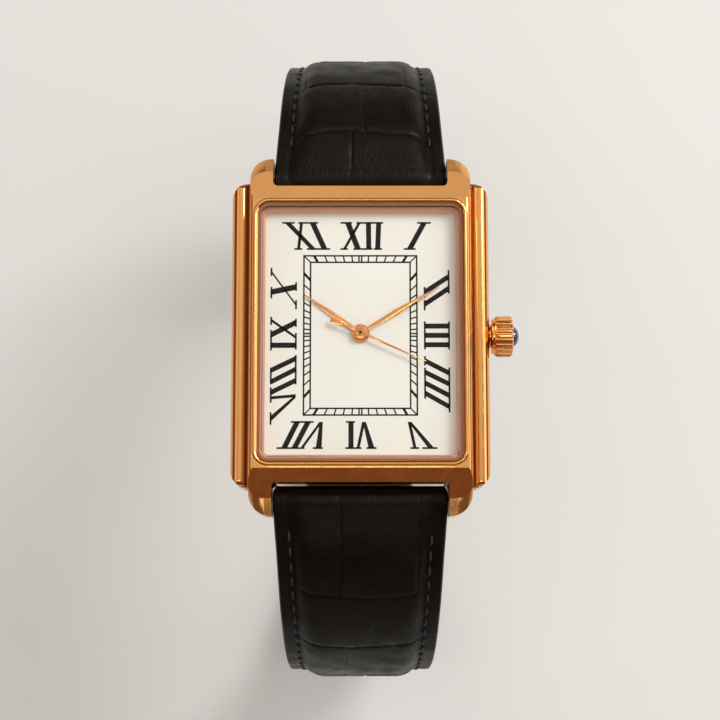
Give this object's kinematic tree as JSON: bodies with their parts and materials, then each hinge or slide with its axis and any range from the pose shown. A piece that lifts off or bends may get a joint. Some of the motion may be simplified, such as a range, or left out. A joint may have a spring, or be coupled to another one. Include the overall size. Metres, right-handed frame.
{
  "type": "wristwatch",
  "caption": "Rectangular quartz wristwatch with stepped side rails, fluted crown with a dark stone, and an open padded leather strap with keepers and a pin buckle.",
  "frame": {"origin": "centre of the case back's outer flat face", "axes": "+Z out of the dial, +Y towards 12 o'clock, +X towards 3 o'clock and the crown"},
  "size_m": [0.0296, 0.0693, 0.0694],
  "materials": {
    "rose_gold": "polished rose gold plating",
    "hands_gold": "polished",
    "flange_gold": "satin",
    "crystal": "clear, polished",
    "seal_rubber": "matt",
    "dial_enamel": "satin ivory lacquer",
    "holder_plastic": "moulded",
    "movement_brass": "fine brushed",
    "movement_steel": "fine brushed",
    "board": "solder mask",
    "copper_wire": "enamelled wire",
    "magnet": "plated",
    "stone": "polished cabochon",
    "strap_leather": "semi-gloss, embossed scales",
    "lining_leather": "matt smooth"
  },
  "bodies": {
    "case": {"case_middle": "rose_gold", "bezel": "rose_gold", "crystal": "crystal", "crystal_seal": "seal_rubber", "dial_flange": "flange_gold", "dial": "dial_enamel", "movement_holder": "holder_plastic", "main_plate": "movement_brass", "train_bridge": "movement_brass", "bridge_screws": "movement_steel", "circuit_board": "board", "quartz_can": "movement_steel", "coil": "copper_wire", "stator": "movement_steel", "button_cell": "movement_steel", "cell_clip": "movement_steel", "crown_tube": "rose_gold", "case_back": "rose_gold", "back_seal": "seal_rubber", "back_screws": "rose_gold", "spring_bar_12": "movement_steel", "spring_bar_6": "movement_steel"},
    "seconds": {"second_hand": "hands_gold", "second_wheel": "movement_brass"},
    "minutes": {"minute_hand": "hands_gold", "centre_wheel": "movement_brass"},
    "hours": {"hour_hand": "hands_gold", "hour_wheel": "movement_brass"},
    "third": {"third_wheel": "movement_brass"},
    "fifth": {"fifth_wheel": "movement_brass"},
    "motor": {"rotor": "magnet"},
    "motion": {"minute_wheel": "movement_brass"},
    "setting": {"setting_wheel": "movement_steel"},
    "winding": {"sliding_pinion": "movement_steel"},
    "crown": {"stem": "movement_steel", "crown": "rose_gold", "crown_seal": "seal_rubber", "crown_stone": "stone"},
    "lever": {"setting_lever": "movement_steel"},
    "strap_12": {"strap_12_loop": "strap_leather", "strap_12_leather": "strap_leather", "strap_12_end": "strap_leather", "strap_12_lining": "lining_leather", "fixed_keeper": "strap_leather", "buckle_bar": "movement_steel"},
    "strap_6": {"strap_6_loop": "strap_leather", "strap_6_leather": "strap_leather", "strap_6_lining": "lining_leather"},
    "keeper": {"free_keeper": "strap_leather"},
    "buckle": {"buckle_frame": "rose_gold"},
    "tongue": {"buckle_tongue": "rose_gold"}
  },
  "joints": [
    {"name": "seconds_turn", "type": "hinge", "parent": "case", "child": "seconds", "pos_m": [0, 0, 0.003], "axis": [0, 0, -1], "continuous": true},
    {"name": "minutes_turn", "type": "hinge", "parent": "case", "child": "minutes", "pos_m": [0, 0, 0.003], "axis": [0, 0, -1], "continuous": true},
    {"name": "hours_turn", "type": "hinge", "parent": "case", "child": "hours", "pos_m": [0, 0, 0.003], "axis": [0, 0, -1], "continuous": true},
    {"name": "third_turn", "type": "hinge", "parent": "case", "child": "third", "pos_m": [-0.00294, 0.0017, 0.003], "axis": [0, 0, -1], "continuous": true},
    {"name": "fifth_turn", "type": "hinge", "parent": "case", "child": "fifth", "pos_m": [0.00088, -0.00328, 0.003], "axis": [0, 0, -1], "continuous": true},
    {"name": "rotor_turn", "type": "hinge", "parent": "case", "child": "motor", "pos_m": [-0.00041, -0.00482, 0.003], "axis": [0, 0, -1], "continuous": true},
    {"name": "motion_turn", "type": "hinge", "parent": "case", "child": "motion", "pos_m": [0.00197, -0.00138, 0.003], "axis": [0, 0, -1], "continuous": true},
    {"name": "setting_turn", "type": "hinge", "parent": "case", "child": "setting", "pos_m": [0.0041, 0.00011, 0.003], "axis": [0, 0, -1], "continuous": true},
    {"name": "crown_turn", "type": "hinge", "parent": "case", "child": "winding", "pos_m": [0.00525, 0, 0.0029], "axis": [1, 0, 0], "continuous": true},
    {"name": "crown_pull", "type": "slide", "parent": "winding", "child": "crown", "axis": [1, 0, 0], "range_m": [0, 0.0008]},
    {"name": "lever_turn", "type": "hinge", "parent": "case", "child": "lever", "pos_m": [0.0066, 0.0019, 0.00285], "axis": [0, 0, 1], "range_deg": [-0.5, 28.6]},
    {"name": "strap_12_hinge", "type": "hinge", "parent": "case", "child": "strap_12", "pos_m": [0, 0.0171, 0.002], "axis": [1, 0, 0], "range_deg": [-3, 55]},
    {"name": "strap_6_hinge", "type": "hinge", "parent": "case", "child": "strap_6", "pos_m": [0, -0.0171, 0.002], "axis": [-1, 0, 0], "range_deg": [-3, 55]},
    {"name": "keeper_slide", "type": "slide", "parent": "strap_12", "child": "keeper", "axis": [0, -0.5, -0.866], "range_m": [-0.005, 0.0022]},
    {"name": "buckle_hinge", "type": "hinge", "parent": "strap_12", "child": "buckle", "pos_m": [0, 0.01947, -0.04764], "axis": [1, 0, 0], "range_deg": [-50, 20]},
    {"name": "tongue_hinge", "type": "hinge", "parent": "buckle", "child": "tongue", "pos_m": [0, 0.01947, -0.04764], "axis": [1, 0, 0], "range_deg": [0, 60]}
  ],
  "couplings": [
    {"joint": "minutes_turn", "follows": "seconds_turn", "ratio": 0.016667},
    {"joint": "hours_turn", "follows": "seconds_turn", "ratio": 0.0013889},
    {"joint": "third_turn", "follows": "seconds_turn", "ratio": -0.13333},
    {"joint": "fifth_turn", "follows": "seconds_turn", "ratio": -7.5},
    {"joint": "rotor_turn", "follows": "seconds_turn", "ratio": 30},
    {"joint": "motion_turn", "follows": "seconds_turn", "ratio": -0.0055556},
    {"joint": "setting_turn", "follows": "seconds_turn", "ratio": 0.0125},
    {"joint": "lever_turn", "follows": "crown_pull", "rad_per_m": 612.45}
  ]
}
